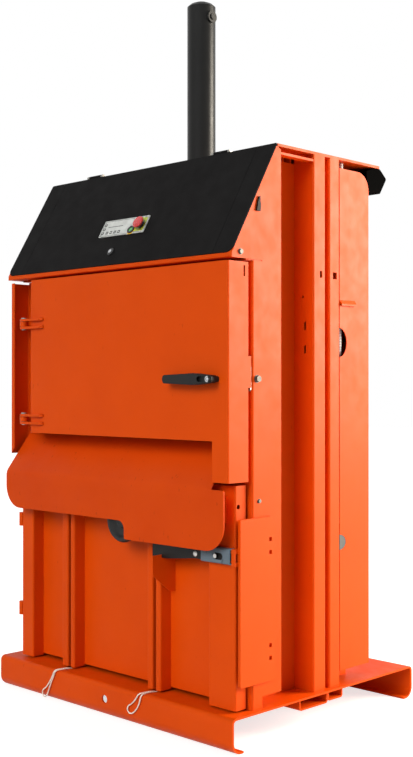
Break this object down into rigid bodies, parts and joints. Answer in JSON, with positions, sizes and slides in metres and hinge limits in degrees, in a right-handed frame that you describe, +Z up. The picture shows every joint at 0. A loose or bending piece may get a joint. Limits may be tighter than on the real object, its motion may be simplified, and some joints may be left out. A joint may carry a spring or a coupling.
{
  "type": "recycling baler",
  "caption": "Upright steel recycling baler with a hooded head, feed door, strap-slotted chamber door with chute and handwheel lock, base pan and vertical ram cylinder.",
  "frame": {"origin": "on the floor under the middle of the footprint of the base and the door handle", "axes": "+Z up, +Y to the back of the machine, +X to the right of someone facing it"},
  "size_m": [1.1, 0.91, 2.337],
  "materials": {
    "orange_paint": "satin",
    "black_paint": "satin",
    "grey_paint": "satin",
    "light_paint": "satin",
    "bare_steel": "brushed",
    "bright_steel": "polished",
    "black_plastic": "moulded, fine grain",
    "red_plastic": "gloss",
    "green_plastic": "gloss",
    "black_rubber": "matt",
    "twine": "twisted twine"
  },
  "bodies": {
    "frame": {"base_pan": "orange_paint", "base_beams": "orange_paint", "bale_chamber": "orange_paint", "front_posts": "orange_paint", "side_panels": "orange_paint", "hinge_wall": "orange_paint", "front_columns": "orange_paint", "rear_columns": "orange_paint", "side_covers": "orange_paint", "back_panel": "orange_paint", "top_plate": "orange_paint", "top_beams": "orange_paint", "header": "orange_paint", "frame_bolts": "bare_steel", "hood_lip": "orange_paint", "hood_side_strips": "black_paint", "lid_hinge_pins": "bare_steel", "rear_hood": "black_paint", "door_hinge_brackets": "orange_paint", "door_hinge_pins": "bare_steel", "latch_striker": "bare_steel", "keeper_plate": "orange_paint", "lower_hinge_frame": "orange_paint", "cylinder_tube": "black_paint", "cylinder_cap": "black_paint", "cylinder_gland": "bare_steel", "cylinder_flange": "black_paint", "power_pack": "grey_paint", "electric_box": "light_paint", "strap_loop_left": "twine", "strap_loop_right": "twine", "service_lines": "black_rubber", "cable_grommet": "black_rubber"},
    "hood_lid": {"hood_lid": "black_paint", "control_plate": "light_paint", "lid_fittings": "black_plastic"},
    "estop": {"estop_head": "red_plastic"},
    "start_button": {"start_button": "green_plastic"},
    "hood_lock": {"lid_lock_barrel": "bright_steel"},
    "upper_door": {"door_shell": "orange_paint", "door_liner": "orange_paint", "door_hinge_lugs": "orange_paint", "handle_base": "black_plastic"},
    "door_handle": {"handle_lever": "black_plastic", "latch_cam": "bare_steel"},
    "handle_key": {"handle_barrel": "bright_steel"},
    "lower_door": {"lower_panel": "orange_paint", "lower_stiles": "orange_paint", "strap_ribs": "orange_paint", "chute_apron": "orange_paint", "apron_brackets": "orange_paint", "bar_gusset": "orange_paint", "lock_guide": "grey_paint", "spindle_bush": "bare_steel", "lower_hinge_leaves": "orange_paint"},
    "lock_bar": {"lock_bar": "black_paint"},
    "lock_wheel": {"hand_wheel": "black_plastic", "pinion": "bare_steel"},
    "ram": {"piston_rod": "bright_steel", "press_plate": "orange_paint"}
  },
  "joints": [
    {"name": "upper_door_swing", "type": "hinge", "parent": "frame", "child": "upper_door", "pos_m": [-0.425, -0.412, 1.08], "axis": [0, 0, -1], "range_deg": [0, 105]},
    {"name": "handle_turn", "type": "hinge", "parent": "upper_door", "child": "door_handle", "pos_m": [0.487, -0.417, 1.055], "axis": [0, -1, 0], "range_deg": [0, 90]},
    {"name": "handle_key_turn", "type": "hinge", "parent": "door_handle", "child": "handle_key", "pos_m": [0.487, -0.447, 1.055], "axis": [0, -1, 0], "range_deg": [0, 90]},
    {"name": "lower_door_swing", "type": "hinge", "parent": "frame", "child": "lower_door", "pos_m": [-0.502, -0.364, 0.42], "axis": [0, 0, -1], "range_deg": [0, 110]},
    {"name": "lock_wheel_turn", "type": "hinge", "parent": "lower_door", "child": "lock_wheel", "pos_m": [0.07, -0.379, 0.618], "axis": [0, -1, 0], "range_deg": [0, 38]},
    {"name": "lock_bar_slide", "type": "slide", "parent": "lower_door", "child": "lock_bar", "axis": [1, 0, 0], "range_m": [0, 0.02]},
    {"name": "ram_stroke", "type": "slide", "parent": "frame", "child": "ram", "axis": [0, 0, -1], "range_m": [0, 0.675]},
    {"name": "hood_lid_lift", "type": "hinge", "parent": "frame", "child": "hood_lid", "pos_m": [0, -0.201, 1.7553], "axis": [-1, 0, 0], "range_deg": [0, 75]},
    {"name": "hood_lock_turn", "type": "hinge", "parent": "hood_lid", "child": "hood_lock", "pos_m": [-0.016, -0.37421, 1.458], "axis": [0, -0.8627, 0.5058], "range_deg": [0, 90]},
    {"name": "estop_push", "type": "slide", "parent": "hood_lid", "child": "estop", "axis": [0, 0.8627, -0.5058], "range_m": [0, 0.004], "stiffness_N_per_m": 1500, "springref_m": -0.001},
    {"name": "start_push", "type": "slide", "parent": "hood_lid", "child": "start_button", "axis": [0, 0.8627, -0.5058], "range_m": [0, 0.003], "stiffness_N_per_m": 600, "springref_m": -0.001}
  ],
  "couplings": [
    {"joint": "lock_bar_slide", "follows": "lock_wheel_turn", "m_per_rad": 0.03}
  ]
}
